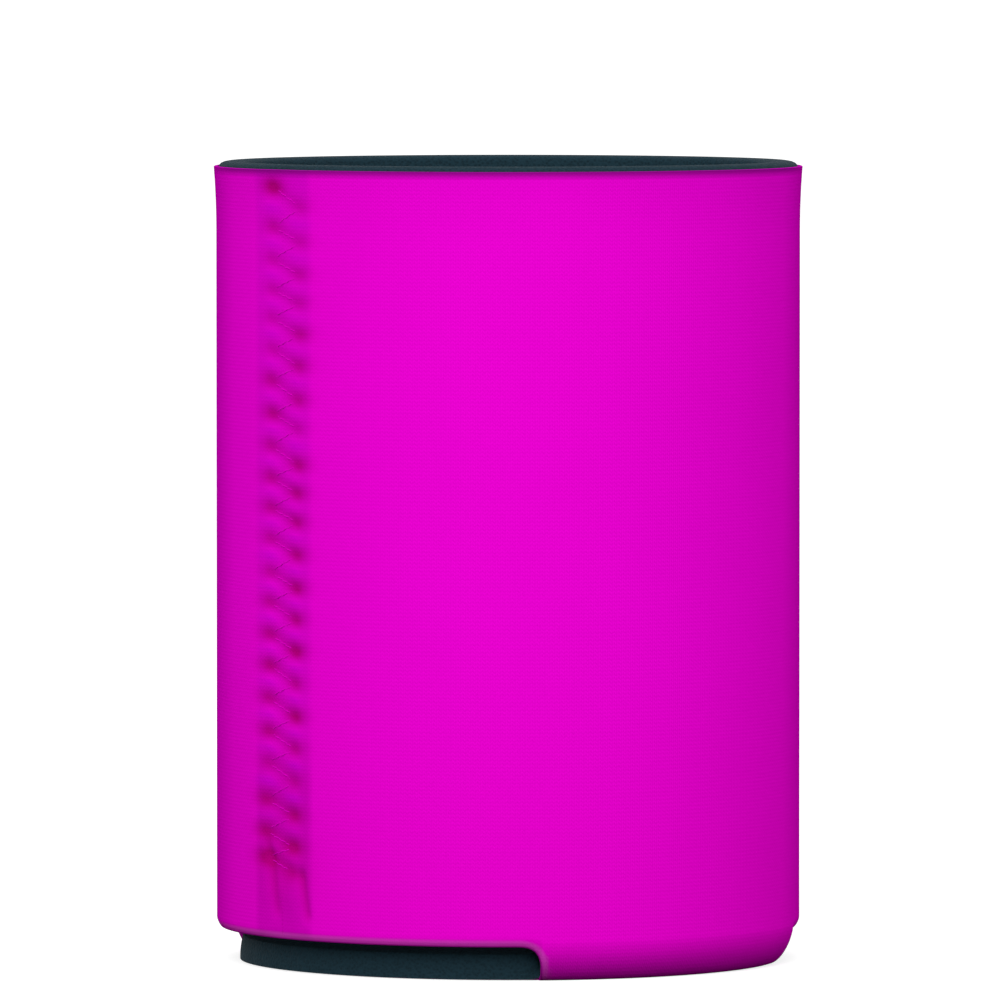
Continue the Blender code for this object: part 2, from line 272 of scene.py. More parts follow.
def open_share(turned, end_angle):
    """How far a cutout is open at an angle from its seam: 1 along it, and 0 past its rounded end.

    Over the end it falls as 1 less the cube of the way, under a cube root.
    """
    past = np.clip((turned - end_angle + CORNER_ANGLE) / CORNER_ANGLE, 0, 1)
    return (1 - past**CORNER_POWER) ** (1 / CORNER_POWER)


def flare(z):
    """How far the wall leans out at a height: with the square of the way up the last stretch."""
    return RIM_FLARE * np.clip((z - CROWN_TOP + FLARE_LENGTH) / FLARE_LENGTH, 0, 1) ** 2


def smooth(share):
    """A smooth step from 0 to 1: three times the square of the share less twice its cube."""
    share = np.clip(share, 0, 1)
    return share * share * (3 - 2 * share)


def bell(square, width):
    """A bell of height 1: e to the minus half of a squared distance over a squared width."""
    return np.exp(-square / (2 * width**2))


def needle_holes(seed):
    """Places of a seam's needle holes: distances to its side, heights and strengths, from the bottom up.

    Hole number k is at the first height plus k half pitches, in turn on one side and the other, and a bell
    lower near both ends. Each has a small seeded shift and strength, and the top one is the strongest.
    """
    draw = np.random.default_rng(seed)
    half_pitch = STITCH_PITCH / 2
    count = int((CROWN_TOP - LAST_STITCH_DROP - FIRST_STITCH) / half_pitch) + 1
    number = np.arange(count)
    even = FIRST_STITCH + number * half_pitch
    drift = STITCH_DRIFT * (even - (FIRST_STITCH + CROWN_TOP) / 2)
    side = np.where(number % 2 == 0, 0.5, -0.5) * STITCH_WIDTH
    across = side + drift + draw.normal(0, SCATTER_ACROSS, count)
    height = even
    for drop, middle, reach in LOWERED_HOLES:
        height = height - drop * bell((even - middle) ** 2, reach)
    height = height + draw.normal(0, SCATTER_UP, count)
    strength = draw.uniform(*HOLE_STRENGTHS, count)
    strength[-1] = TOP_HOLE_STRENGTH
    height[-1] += TOP_HOLE_SHIFT
    return across, height, strength


HOLES = [needle_holes(seed) for seed in HOLE_SEEDS]


def to_stretch(x, y, start, end):
    """Squared distance from each point to a straight stretch between two places."""
    run = (end[0] - start[0], end[1] - start[1])
    along = ((x - start[0]) * run[0] + (y - start[1]) * run[1]) / (run[0] ** 2 + run[1] ** 2)
    along = np.clip(along, 0, 1)
    return (x - start[0] - along * run[0]) ** 2 + (y - start[1] - along * run[1]) ** 2


def band_groove(across):
    """A raised cosine across a seam's band: 1 on the seam, and 0 at the band's borders."""
    return (1 + np.cos(HALF_TURN * np.minimum(np.abs(across) / BAND_HALF_WIDTH, 1))) / 2


def bells_at(across, z, sides, heights, size):
    """A bell at each of the places beside a seam, wider than high: one for each along the last axis."""
    near = ((across[..., None] - sides) / DENT_STRETCH) ** 2 + (z[..., None] - heights) ** 2
    return bell(near, size)


def seam_relief(across, z, seam):
    """How far the face is drawn in beside a seam, and its tone: above 0 in hollows, where it is painted
    shade, and below 0 on puffs.

    It is the sum of a raised cosine groove, slanting ripples between the tight legs of the zigzag, a bell in
    at each needle hole, a bell out midway between two holes of one side, a channel along each tight leg, and
    the creases and the puff under the lowest stitch. The stitches pull less near the mouth than near the
    base. Round the lowest stitch the tone has a soft painted shade of its own.
    """
    sides, heights, strengths = HOLES[seam]
    pull = MOUTH_PULL + PULL_GAIN * smooth((PULL_TOP - z) / PULL_LENGTH)
    sewn = smooth((z - FIRST_STITCH + GROOVE_START) / GROOVE_RISE)
    slanted = z + across * STITCH_PITCH / 2 / STITCH_WIDTH
    stitch = np.interp(slanted, heights, np.arange(len(heights)))
    within = 1 - smooth((np.abs(across) - RIPPLE_HALF_WIDTH) / RIPPLE_FADE)
    ripple = np.cos(HALF_TURN * (stitch - 0.5)) * within * sewn * (slanted < heights[-1])
    groove = GROOVE_DEPTH * band_groove(across) * (LOW_GROOVE + (1 - LOW_GROOVE) * sewn)
    drawn = groove * pull + RIPPLE * ripple * pull
    tone = RIPPLE_TONE * ripple * pull

    dents = (strengths * bells_at(across, z, sides, heights, DENT_HEIGHT)).sum(-1)
    middles = (sides[2:] + sides[:-2]) / 2, (heights[2:] + heights[:-2]) / 2
    puffs = bells_at(across, z, *middles, PUFF_HEIGHT).sum(-1)
    drawn = drawn + (DENT_DEPTH * dents - PUFF * puffs) * pull
    tone = tone + (DENT_TONE * dents - PUFF_TONE * puffs) * pull

    places = list(zip(sides, heights))
    for start, end in zip(places[::2], places[1::2]):
        channel = bell(to_stretch(across, z, start, end), CHANNEL_WIDTH) * pull
        drawn = drawn + CHANNEL_DEPTH * channel
        tone = tone + CHANNEL_TONE * channel

    creases = 0
    for start, end, width, strength in CREASES:
        creases = creases + strength * bell(to_stretch(across, z, start, end), width)
    side, height = LOW_PUFF_PLACE
    puff = bell((across - side) ** 2 + ((z - height) / LOW_PUFF_STRETCH) ** 2, LOW_PUFF_WIDTH)
    shade = bell((across / LOW_SHADE_STRETCH) ** 2 + (z - LOW_SHADE_HEIGHT) ** 2, LOW_SHADE_SIZE)
    drawn = drawn + CREASE_DEPTH * creases - LOW_PUFF * puff
    return drawn, tone + CREASE_TONE * creases - LOW_PUFF_TONE * puff + LOW_SHADE_TONE * shade


def inner_relief(across, z, seam):
    """How far the foam's inner side is drawn in beside a seam, and its tone, as seam_relief gives them.

    It goes out by a raised cosine, the same at either seam and at every height, and it has no tone.
    """
    return -INNER_GROOVE * band_groove(across), 0 * z


class Grid:
    """How a piece's surfaces are divided: rows down the wall, and columns from one seam to the other.

    The columns are close together beside the seams and at the cutouts' ends. Each of the two panels has its
    own angles, measured from its first seam, and how far a cutout is open at each.
    """

    def __init__(self, wall_rows, band_columns, panel_columns, corner_columns, neck_columns):
        self.wall_rows = wall_rows
        self.lip_row = wall_rows + RUN_ROWS + CURL_ROWS
        self.rim_row = self.lip_row + STRIP_ROWS
        self.rows = self.rim_row + 1 + len(RING_SHARES)

        def quarter(end_angle):
            """The angles from a seam to the middle of a neck, and how far the cutout is open at each.

            Steps are even over the band and over the panel. They follow a sine round the cutout's end, and
            grow from there with the square of the way over the neck.
            """
            band = np.linspace(0, BAND_HALF_WIDTH + BAND_MARGIN, band_columns + 1) / OUTER_RADIUS
            panel = np.linspace(band[-1], end_angle - CORNER_ANGLE, panel_columns + 1)[1:]
            turn = np.linspace(0, QUARTER_TURN, corner_columns + 1)[1:]
            corner = end_angle - CORNER_ANGLE + CORNER_ANGLE * np.sin(turn)
            way = np.linspace(0, 1, neck_columns + 1)[1:]
            neck = end_angle + (QUARTER_TURN - end_angle) * way**2
            angles = np.concatenate((band, panel, corner, neck))
            return angles, open_share(angles, end_angle)

        self.angles, self.open = [], []
        for first_end, second_end in CUTOUT_ENDS:
            first, first_open = quarter(first_end)
            second, second_open = quarter(second_end)
            self.angles.append(np.concatenate((first, HALF_TURN - second[-2::-1])))
            self.open.append(np.concatenate((first_open, second_open[-2::-1])))
        self.columns = len(self.angles[0])

    def faces(self):
        """The corners of a sheet's quads, without those inside the cutouts, and of the fans at its middle."""
        row = np.arange(self.rows - 1)[:, None]
        column = np.arange(self.columns - 1)[None, :]
        high = row * self.columns + column
        low = high + self.columns
        quads = np.stack((high, low, low + 1, high + 1), axis=2)
        opened = self.open[0][:-1] + self.open[0][1:] > 0  # in the same columns of both panels
        absent = (row >= self.lip_row) & (row < self.rim_row) & opened[None, :]
        quads = quads[~absent]
        block = self.rows * self.columns
        last = block - self.columns + column[0]
        fan = np.stack((last, 0 * last + 2 * block, last + 1), axis=1)
        second_fan = fan + (block, 0, block)
        return np.concatenate((quads, quads + block)), np.concatenate((fan, second_fan))


def ellipse(centre, reach, drop, start, end, steps):
    """Points of an ellipse arc in a section, without its first: turns are measured from straight down."""
    turn = np.linspace(start, end, steps + 1)[1:]
    return np.stack((centre[0] + reach * np.sin(turn), centre[1] - drop * np.cos(turn)), axis=1)


def fold_arc(depth, start, end, steps):
    """Points of a neck's fold this deep under the skin, without its first.

    It is a quarter of an ellipse pulled towards a straight slant: the distance out goes with the sine of the
    turn, and the drop with its cosine, both raised to 2 over the fold's power. Turns are measured from
    straight down.
    """
    turn = np.linspace(start, end, steps + 1)[1:]
    out = (FOLD_REACH - depth) * np.sin(turn) ** (2 / FOLD_POWER)
    down = (FOLD_HEIGHT - depth) * np.cos(turn) ** (2 / FOLD_POWER)
    return np.stack((BASE_RADIUS + out, FOLD_HEIGHT - down), axis=1)


def straight(start, end, steps):
    """Evenly spaced points of a straight stretch in a section, without its first."""
    return np.linspace(start, end, steps + 1)[1:]


def outer_sections(grid, depth, wall_top, rim_radius, rim_height):
    """Two sections this deep under the skin, from the mouth to the base's rim: at a neck and at a cutout.

    Wall rows are evenly spaced. A neck then follows its fold down to the base. Over a cutout the panel curls
    in along the start of an ellipse as far as its cut edge, and the rest stands on the rim.
    """
    radius = OUTER_RADIUS - depth
    wall = np.linspace((radius, wall_top), (radius, WALL_END), grid.wall_rows + 1)
    curl = (OUTER_RADIUS - CURL_REACH, CURL_TOP), CURL_REACH - depth, CURL_DROP - depth
    neck = np.concatenate(
        (
            wall,
            straight((radius, WALL_END), (radius, FOLD_HEIGHT), RUN_ROWS),
            fold_arc(depth, QUARTER_TURN, STRIP_TURN, CURL_ROWS),
            fold_arc(depth, STRIP_TURN, 0, STRIP_ROWS),
        )
    )
    cut = np.concatenate(
        (
            wall,
            straight((radius, WALL_END), (radius, CURL_TOP), RUN_ROWS),
            ellipse(*curl, QUARTER_TURN, CURL_END, CURL_ROWS),
            straight((rim_radius, PANEL_EDGE), (rim_radius, rim_height), STRIP_ROWS),
        )
    )
    return neck, cut


def inner_sections(grid):
    """The rows of the foam's inner side, row for row with its outer side: at a neck and at a cutout.

    A neck's wall turns into the floor round a small quarter circle. Over a cutout the panel stops at its
    edge, and the rest lies at the upper corner of the base's bare edge.
    """
    top = CROWN_TOP - INNER_CORNER
    bend = WALL + FLOOR_CORNER
    wall = np.linspace((INNER_RADIUS, top), (INNER_RADIUS, WALL_END), grid.wall_rows + 1)
    corner = (INNER_RADIUS - FLOOR_CORNER, bend), FLOOR_CORNER, FLOOR_CORNER
    neck = np.concatenate(
        (
            wall,
            straight((INNER_RADIUS, WALL_END), (INNER_RADIUS, bend), RUN_ROWS),
            ellipse(*corner, QUARTER_TURN, 0, CURL_ROWS + STRIP_ROWS),
        )
    )
    rim = BASE_RADIUS - EDGE_LEAN
    cut = np.concatenate(
        (
            wall,
            straight((INNER_RADIUS, WALL_END), (INNER_RADIUS, LIP_FOAM_HEIGHT), RUN_ROWS + CURL_ROWS),
            straight((rim, PANEL_EDGE), (rim, FOAM_EDGE_HEIGHT), STRIP_ROWS),
        )
    )
    return neck, cut


def edge_closeness(grid, angles, share, section):
    """How close each point of a panel is to the cutouts' cut edges: 1 on an edge, 0 a band's width away.

    Places are the distance round the wall and the length along the section from the mouth. The edges run
    along the lip row, and down the first column past each cutout's end. It is the least distance to any
    stretch of them.
    """
    steps = np.hypot(np.diff(section[:, :, 0], axis=0), np.diff(section[:, :, 1], axis=0))
    down = np.concatenate((np.zeros((1, grid.columns)), np.cumsum(steps, axis=0)))
    across = OUTER_RADIUS * angles[None, :] + 0 * down
    closed = np.flatnonzero(share == 0)
    least = np.full(down.shape, np.inf)
    lips = np.arange(closed[0] + 1), np.arange(closed[-1], grid.columns)
    for columns, end_column in zip(lips, (closed[0], closed[-1])):
        strip = np.arange(grid.lip_row, grid.rim_row + 1)
        lip = np.stack((across[grid.lip_row, columns], down[grid.lip_row, columns]), axis=1)
        end = np.stack((across[strip, end_column], down[strip, end_column]), axis=1)
        for path in (lip, end):
            for start, stop in zip(path, path[1:]):
                least = np.minimum(least, to_stretch(across, down, start, stop))
    return np.clip(1 - np.sqrt(least) / LIP_BAND, 0, 1)


def surface(grid, sections, relief, flat, level_share):
    """One surface of the folded sheet, and its tone and how near each point is to a cutout's cut edge.

    Each point mixes the neck's row and the cutout's row by how open the cutout is at its angle. Rings inside
    the rim come level at the height called flat. The radius gains the flare and loses the seam's relief,
    which fades out past the band and over the curl. At the seams the columns step apart by half the opening.
    """
    neck, cut = sections
    arc = np.sin(np.linspace(QUARTER_TURN, RELIEF_END, CURL_ROWS))
    above = np.ones(grid.wall_rows + 1 + RUN_ROWS)
    drawn_rows = np.concatenate((above, arc, np.zeros(grid.rows - len(above) - len(arc))))[:, None]
    second_half = np.arange(grid.columns) > grid.columns // 2
    inwards = RING_SHARES[:, None]
    blocks = []
    for panel, (angles, share) in enumerate(zip(grid.angles, grid.open)):
        section = neck[:, None, :] * (1 - share)[None, :, None] + cut[:, None, :] * share[None, :, None]
        rim_radius, rim_height = section[-1].T
        ring_height = flat + (rim_height - flat) * (1 - smooth(inwards / level_share))
        section = np.concatenate((section, np.stack((rim_radius * (1 - inwards), ring_height), axis=2)))
        radius, z = section[:, :, 0], section[:, :, 1]
        across = seam_distance(angles)[None, :] + 0 * z
        reliefs = [relief(across, z, seam) for seam in (panel, 1 - panel)]
        drawn, tone = [np.where(second_half, second, first) for first, second in zip(*reliefs)]
        past_band = np.abs(across) - BAND_HALF_WIDTH - RELIEF_MARGIN
        fade = drawn_rows * (1 - smooth(past_band / RELIEF_FADE))
        reach = radius + flare(z) - drawn * fade
        opening = OPEN_END + (SEAM_OPENING - OPEN_END) * smooth(z / FIRST_STITCH)
        step = opening / 2 / OUTER_RADIUS * bell(across**2, OPENING_REACH) * (drawn_rows > 0)
        turned = angles + panel * HALF_TURN + np.where(second_half, -step, step)
        lip_share = edge_closeness(grid, angles, share, section)
        x, y = reach * np.cos(turned), reach * np.sin(turned)
        blocks.append(np.stack((x, y, z, tone * fade, lip_share), axis=2).reshape(-1, 5))
    middle = np.array([[0.0, 0.0, flat, 0.0, 0.0]])
    rows = np.concatenate((*blocks, middle))
    return rows[:, :3], rows[:, 3], rows[:, 4]


def border_edges(quads, fan):
    """The edges that only one face uses, in that face's direction."""
    ends = [np.stack((ring, np.roll(ring, -1, axis=1)), axis=2).reshape(-1, 2) for ring in (quads, fan)]
    ends = np.concatenate(ends)
    _, index, count = np.unique(np.sort(ends, axis=1), axis=0, return_inverse=True, return_counts=True)
    return ends[count[index.reshape(-1)] == 1]


def thick_sheet(grid, outer, inner, values, edge_steps, edge_push):
    """A closed sheet from its two surfaces: the outer faces, the inner ones turned over, and its cut edges.

    Points of the outer surface that round to the same place are made one. Along every border the edge is
    rows of quads between the two surfaces, spaced by a cosine, so closer together near both. edge_push says
    how far each row's points move off the straight way through.
    """
    quads, fan = grid.faces()
    places = np.round(outer / WELD_STEP).astype(np.int64)
    _, first, index = np.unique(places, axis=0, return_index=True, return_inverse=True)
    index = index.reshape(-1)
    quads, fan = index[quads], index[fan]
    outer, inner = outer[first], inner[first]
    count = len(outer)
    border = border_edges(quads, fan)
    rim, border_places = np.unique(border, return_inverse=True)
    start, end = border_places.reshape(-1, 2).T
    blocks, rows, sources = [outer, inner], [rim], [np.arange(count)] * 2
    for step in range(1, edge_steps):
        share = (1 - math.cos(HALF_TURN * step / edge_steps)) / 2
        ring = outer[rim] * (1 - share) + inner[rim] * share
        rows.append(sum(len(block) for block in blocks) + np.arange(len(rim)))
        blocks.append(ring + edge_push(share, ring))
        sources.append(rim)
    rows.append(rim + count)
    edge = [
        np.stack((upper[end], upper[start], lower[start], lower[end]), axis=1)
        for upper, lower in zip(rows, rows[1:])
    ]
    quads = np.concatenate((quads, quads[:, ::-1] + count, *edge))
    fan = np.concatenate((fan, fan[:, ::-1] + count))
    source = np.concatenate(sources)
    values = {name: value[first][source] for name, value in values.items()}
    return np.concatenate(blocks), quads, fan, values


def make_mesh(name, points, quads, others, values, material):
    """A mesh object at the origin from the points that its faces use, with one float attribute a value."""
    corners = np.concatenate((quads.reshape(-1), np.ravel(others)))
    used, place = np.unique(corners.astype(np.int64), return_inverse=True)
    place = place.reshape(-1)
    faces = place[: quads.size].reshape(quads.shape).tolist()
    start = quads.size
    for face in others:
        faces.append(place[start : start + len(face)].tolist())
        start += len(face)
    mesh = bpy.data.meshes.new(name)
    mesh.from_pydata(points[used].tolist(), [], faces)
    for attribute, value in values.items():
        layer = mesh.attributes.new(attribute, "FLOAT", "POINT")
        layer.data.foreach_set("value", value[used].astype(np.float32))
    mesh.shade_smooth()
    mesh.set_sharp_from_angle(angle=SHARP_ANGLE)
    mesh.materials.append(material)
    made = bpy.data.objects.new(name, mesh)
    bpy.context.scene.collection.objects.link(made)
    return made


def cloth_face(material):
    """The knitted face: the skin and, a face's thickness under it, its back."""
    grid = Grid(wall_rows=172, band_columns=20, panel_columns=14, corner_columns=9, neck_columns=14)
    rim = BASE_RADIUS - FACE_SETBACK
    skin = outer_sections(grid, 0.0, FACE_TOP, rim, 0.0)
    back = outer_sections(grid, FACE_THICKNESS, FACE_TOP, rim, FACE_THICKNESS)
    outer, tone, lip = surface(grid, skin, seam_relief, 0.0, UNDERSIDE_LEVEL)
    inner, _, _ = surface(grid, back, seam_relief, FACE_THICKNESS, UNDERSIDE_LEVEL)

    def edge_push(share, ring):
        """Rounds the edge at the mouth up, by half a sine over the way through."""
        at_mouth = ring[:, 2] > FACE_TOP - MOUTH_MARGIN
        up = MOUTH_ROUNDING * math.sin(HALF_TURN * share) * at_mouth
        return np.stack((0 * up, 0 * up, up), axis=1)

    values = {"tone": tone, "lip": lip}
    points, quads, fan, values = thick_sheet(grid, outer, inner, values, edge_steps=3, edge_push=edge_push)
    made = make_mesh("knitted_face", points, quads, fan, values, material)
    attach(made, "root")
    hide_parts("face_fabric")


def foam_core(material):
    """The folded foam: bare at the mouth's crown, inside, and along the base's edge in the cutouts."""
    grid = Grid(wall_rows=96, band_columns=12, panel_columns=14, corner_columns=9, neck_columns=14)
    outside = outer_sections(grid, FOAM_DEPTH, CROWN_TOP - SHOULDER_HEIGHT, BASE_RADIUS, EDGE_ROLL)
    outer, _, _ = surface(grid, outside, seam_relief, FOAM_DEPTH, UNDERSIDE_LEVEL)
    inner, _, _ = surface(grid, inner_sections(grid), inner_relief, WALL, FLOOR_LEVEL)

    def edge_push(share, ring):
        """Rounds the crown as a squarish ellipse, and bulges the base's bare edge out by half a sine."""
        x, y, z = ring.T
        crown = (1 - abs(2 * share - 1) ** CROWN_POWER) ** (1 / CROWN_POWER)
        up = (CROWN_TOP - z) * crown * (z > CROWN_TOP - SHOULDER_HEIGHT - MOUTH_MARGIN)
        out = EDGE_BULGE * math.sin(HALF_TURN * share) / np.hypot(x, y) * (z < WALL)
        return np.stack((out * x, out * y, up), axis=1)

    points, quads, fan, values = thick_sheet(grid, outer, inner, {}, edge_steps=10, edge_push=edge_push)
    made = make_mesh("foam_core", points, quads, fan, values, material)
    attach(made, "root")
    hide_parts("foam_body")


def stitch_centre(seam, outside):
    """The centre line of a seam's thread: straight legs from hole to hole, dipping into each hole.

    The height and the distance to the side are linear between holes. The radius is that of the surface that
    the thread lies on, moved into the sheet by a bell at each hole and, outside, by a share of the thread's
    thickness.
    """
    sides, heights, _ = HOLES[seam]
    along = np.linspace(0, len(heights) - 1, (len(heights) - 1) * PLY_STEPS + 1)
    across = np.interp(along, np.arange(len(heights)), sides)
    z = np.interp(along, np.arange(len(heights)), heights)
    between = np.abs((along + 0.5) % 1 - 0.5)
    sunk = THREAD_SUNK if outside else 0.0
    lift = -THREAD_DIAMETER * (sunk + THREAD_DIP * bell(between**2, DIP_REACH))
    if outside:
        drawn, _ = seam_relief(across, z, seam)
        radius = OUTER_RADIUS + flare(z) - drawn + lift
    else:
        drawn, _ = inner_relief(across, z, seam)
        radius = INNER_RADIUS + flare(z) - drawn - lift
    angle = across / OUTER_RADIUS + seam * HALF_TURN
    return np.stack((radius * np.cos(angle), radius * np.sin(angle), z), axis=1), along


def ply(centre, along, phase):
    """One ply of a twisted thread: a round tube whose centre circles the thread's own at half its radius.

    It starts at a phase, in turns, and makes the same share of a turn for each step along the thread.
    """
    run = np.gradient(centre, axis=0)
    run /= np.linalg.norm(run, axis=1)[:, None]
    side = np.cross(run, centre * (1, 1, 0))
    side /= np.linalg.norm(side, axis=1)[:, None]
    up = np.cross(side, run)
    turn = FULL_TURN * (PLY_TURNS * along + phase)
    path = centre + THREAD_DIAMETER / 4 * (side * np.cos(turn)[:, None] + up * np.sin(turn)[:, None])
    ring_turn = (np.arange(PLY_SIDES) * FULL_TURN / PLY_SIDES)[None, :, None]
    ring = side[:, None] * np.cos(ring_turn) + up[:, None] * np.sin(ring_turn)
    points = (path[:, None] + THREAD_DIAMETER / 4 * PLY_SWELL * ring).reshape(-1, 3)
    step = np.arange(len(path) - 1)[:, None] * PLY_SIDES
    here = np.arange(PLY_SIDES)[None, :]
    beside = (here + 1) % PLY_SIDES
    corners = (step + here, step + beside, step + PLY_SIDES + beside, step + PLY_SIDES + here)
    quads = np.stack(corners, axis=2)
    caps = np.stack((here[0, ::-1], here[0] + (len(path) - 1) * PLY_SIDES))
    return points, quads.reshape(-1, 4), caps


def seam_thread(name, node, seam, outside, material):
    """A seam's thread on one side of the sheet: two plies twisted round each other, sewn in a zigzag."""
    centre, along = stitch_centre(seam, outside)
    first, quads, caps = ply(centre, along, 0.0)
    second, _, _ = ply(centre, along, 0.5)
    quads = np.concatenate((quads, quads + len(first)))
    caps = np.concatenate((caps, caps + len(first)))
    made = make_mesh(name, np.concatenate((first, second)), quads, caps, {}, material)
    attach(made, "root")
    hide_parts(node)


class Nodes:
    """A shorthand for wiring the nodes of a material or of the room."""

    def __init__(self, owner):
        owner.use_nodes = True
        self.owner = owner
        self.tree = owner.node_tree

    def feed(self, socket, value):
        """Gives a socket its value: another socket's, a number or a colour."""
        if isinstance(value, bpy.types.NodeSocket):
            self.tree.links.new(value, socket)
        elif socket.type == "RGBA":
            socket.default_value = (*value, 1.0)
        else:
            socket.default_value = value

    def add(self, kind, *values, **settings):
        """A node of this kind: values for its inputs in their order, and its settings by name."""
        node = self.tree.nodes.new(kind)
        for name, setting in settings.items():
            setattr(node, name, setting)
        for socket, value in zip(node.inputs, values):
            self.feed(socket, value)
        return node

    def set(self, name, value):
        """Gives one of the shader's own sockets its value."""
        self.feed(self.tree.nodes["Principled BSDF"].inputs[name], value)

    def maths(self, operation, *values):
        """The result of one operation on sockets or numbers."""
        return self.add("ShaderNodeMath", *values, operation=operation).outputs[0]

    def plus(self, first, second):
        """The sum of two values."""
        return self.maths("ADD", first, second)

    def less(self, first, second):
        """The first value less the second."""
        return self.maths("SUBTRACT", first, second)

    def times(self, first, second):
        """The product of two values."""
        return self.maths("MULTIPLY", first, second)

    def over(self, first, second):
        """The first value over the second."""
        return self.maths("DIVIDE", first, second)

    def clamp(self, value):
        """A value kept between 0 and 1."""
        return self.maths("MINIMUM", self.maths("MAXIMUM", value, 0.0), 1.0)

    def place(self):
        """The place on the object, in metres."""
        return self.add("ShaderNodeTexCoord").outputs["Object"]

    def attribute(self, name):
        """A float attribute of the mesh."""
        return self.add("ShaderNodeAttribute", attribute_name=name).outputs["Fac"]

    def rays(self):
        """Two switches: 1 for the camera's rays, and 1 for those and the rays of reflections and glass."""
        path = self.add("ShaderNodeLightPath").outputs
        camera = path["Is Camera Ray"]
        seen = self.maths("MAXIMUM", camera, path["Is Glossy Ray"])
        return camera, self.maths("MAXIMUM", seen, path["Is Transmission Ray"])

    def blend(self, share, first, second):
        """A colour between two, by a share that is kept between 0 and 1."""
        node = self.add("ShaderNodeMix", data_type="RGBA", clamp_factor=True)
        factor, first_colour, second_colour = node.inputs[0], node.inputs[6], node.inputs[7]
        self.feed(factor, share)
        self.feed(first_colour, first)
        self.feed(second_colour, second)
        return node.outputs[2]

    def noise(self, place, scale, detail):
        """A noise from 0 to 1."""
        node = self.add("ShaderNodeTexNoise", place, noise_dimensions="3D")
        self.feed(node.inputs["Scale"], scale)
        self.feed(node.inputs["Detail"], detail)
        return node.outputs[0]

    def bumpy(self, height, strength, distance):
        """Shades the surface as if it rose and fell by a height."""
        bump = self.add("ShaderNodeBump")
        self.feed(bump.inputs["Strength"], strength)
        self.feed(bump.inputs["Distance"], distance)
        self.feed(bump.inputs["Height"], height)
        self.set("Normal", bump.outputs[0])


def knit_loops(knit, place, angle, z):
    """Height of the knit's loops, from 0 to 1, and of its whole surface, with the yarn's fuzz.

    A loop is half a sine up each course, and its foot falls from its wale's borders to the middle, which
    makes a V. The surface takes that times half a sine over each half of the wale, and a noise.
    """
    wale = knit.maths("PINGPONG", knit.times(angle, OUTER_RADIUS / WALE_WIDTH), 0.5)
    loop = knit.maths("FRACT", knit.plus(knit.over(z, COURSE_HEIGHT), knit.times(wale, LOOP_SLANT)))
    loop_height = knit.maths("SINE", knit.times(loop, HALF_TURN))
    wale_height = knit.maths("SINE", knit.times(wale, FULL_TURN))
    height = knit.times(loop_height, knit.plus(wale_height, LOOP_LEAST))
    fuzz = knit.noise(place, scale=2600, detail=3)
    return loop_height, knit.plus(height, knit.times(fuzz, FUZZ_SHARE))


def yarn_colour(knit, place, loop_height):
    """Magenta with a slow mottle, and painted shade a little darker between the loops."""
    mottle = knit.times(knit.less(knit.noise(place, scale=60, detail=4), MOTTLE_START), MOTTLE_SHARE)
    # painted shade in the valleys between the loops
    loop_shade = knit.times(knit.less(1.0, loop_height), LOOP_SHADE_SHARE)
    return knit.blend(knit.plus(mottle, loop_shade), MAGENTA, MAGENTA_DARK)


def band_colour(knit, colour, angle, z):
    """Paints shade on the bands beside the seams, most of all low down, and a little on the whole wall low
    down.
    """
    beside = knit.maths("PINGPONG", knit.maths("ABSOLUTE", angle), QUARTER_TURN)
    inside = knit.less(BAND_HALF_WIDTH / OUTER_RADIUS, beside)
    band = knit.maths("MINIMUM", knit.times(inside, OUTER_RADIUS / BAND_FADE), BAND_SHARE)
    # painted shade in the seam's groove
    colour = knit.blend(band, colour, MAGENTA_BAND)
    low = knit.clamp(knit.over(knit.less(LOW_BAND_TOP, z), LOW_BAND_FADE))
    colour = knit.blend(knit.times(band, low), colour, MAGENTA_SHADE)
    # painted shade on the whole wall low down
    lower = knit.over(knit.less(LOW_WALL, z), LOW_WALL)
    return knit.blend(knit.times(lower, LOW_WALL_SHARE), colour, MAGENTA_LOW)


def relief_colour(knit, colour):
    """Paints shade in the seam's hollows, deeper and redder, and turns the colour to violet on its puffs."""
    tone = knit.attribute("tone")
    colour = knit.blend(tone, colour, MAGENTA_DEEP)
    return knit.blend(knit.times(tone, -VIOLET_RATE), colour, MAGENTA_VIOLET)


def edge_colour(knit, colour, x, y, z):
    """Paints shade on the face's cut edges, with a paler line of painted highlight beside them, and on the
    necks down at the base.

    The paler line is a parabola of how close the cut edge is, with its top halfway over the edge's band. At
    the mouth, and down at the base outside its rim, the painted shade grows evenly with the way.
    """
    lip = knit.attribute("lip")
    pale = knit.times(knit.times(lip, knit.less(1.0, lip)), 4 * LIP_PALE)
    colour = knit.blend(pale, colour, MAGENTA_PALE)
    dark = knit.times(knit.less(lip, LIP_DARK_START), LIP_DARK_RATE)
    colour = knit.blend(dark, colour, MAGENTA_PAINTED_SHADOW)
    # painted shade up to the mouth's edge
    mouth = knit.over(knit.less(z, FACE_TOP - MOUTH_SHADE), MOUTH_SHADE)
    colour = knit.blend(knit.times(mouth, MOUTH_SHARE), colour, MAGENTA_PAINTED_SHADOW)
    # painted shade on the necks down at the base
    radius = knit.maths("SQRT", knit.plus(knit.maths("POWER", x, 2), knit.maths("POWER", y, 2)))
    beyond = knit.clamp(knit.over(knit.less(radius, BASE_RADIUS - RIM_FADE), RIM_FADE))
    under = knit.maths("MAXIMUM", knit.over(knit.less(BASE_SHADE, z), BASE_SHADE), 0.0)
    return knit.blend(knit.times(knit.times(under, beyond), BASE_SHARE), colour, MAGENTA_PAINTED_SHADOW)


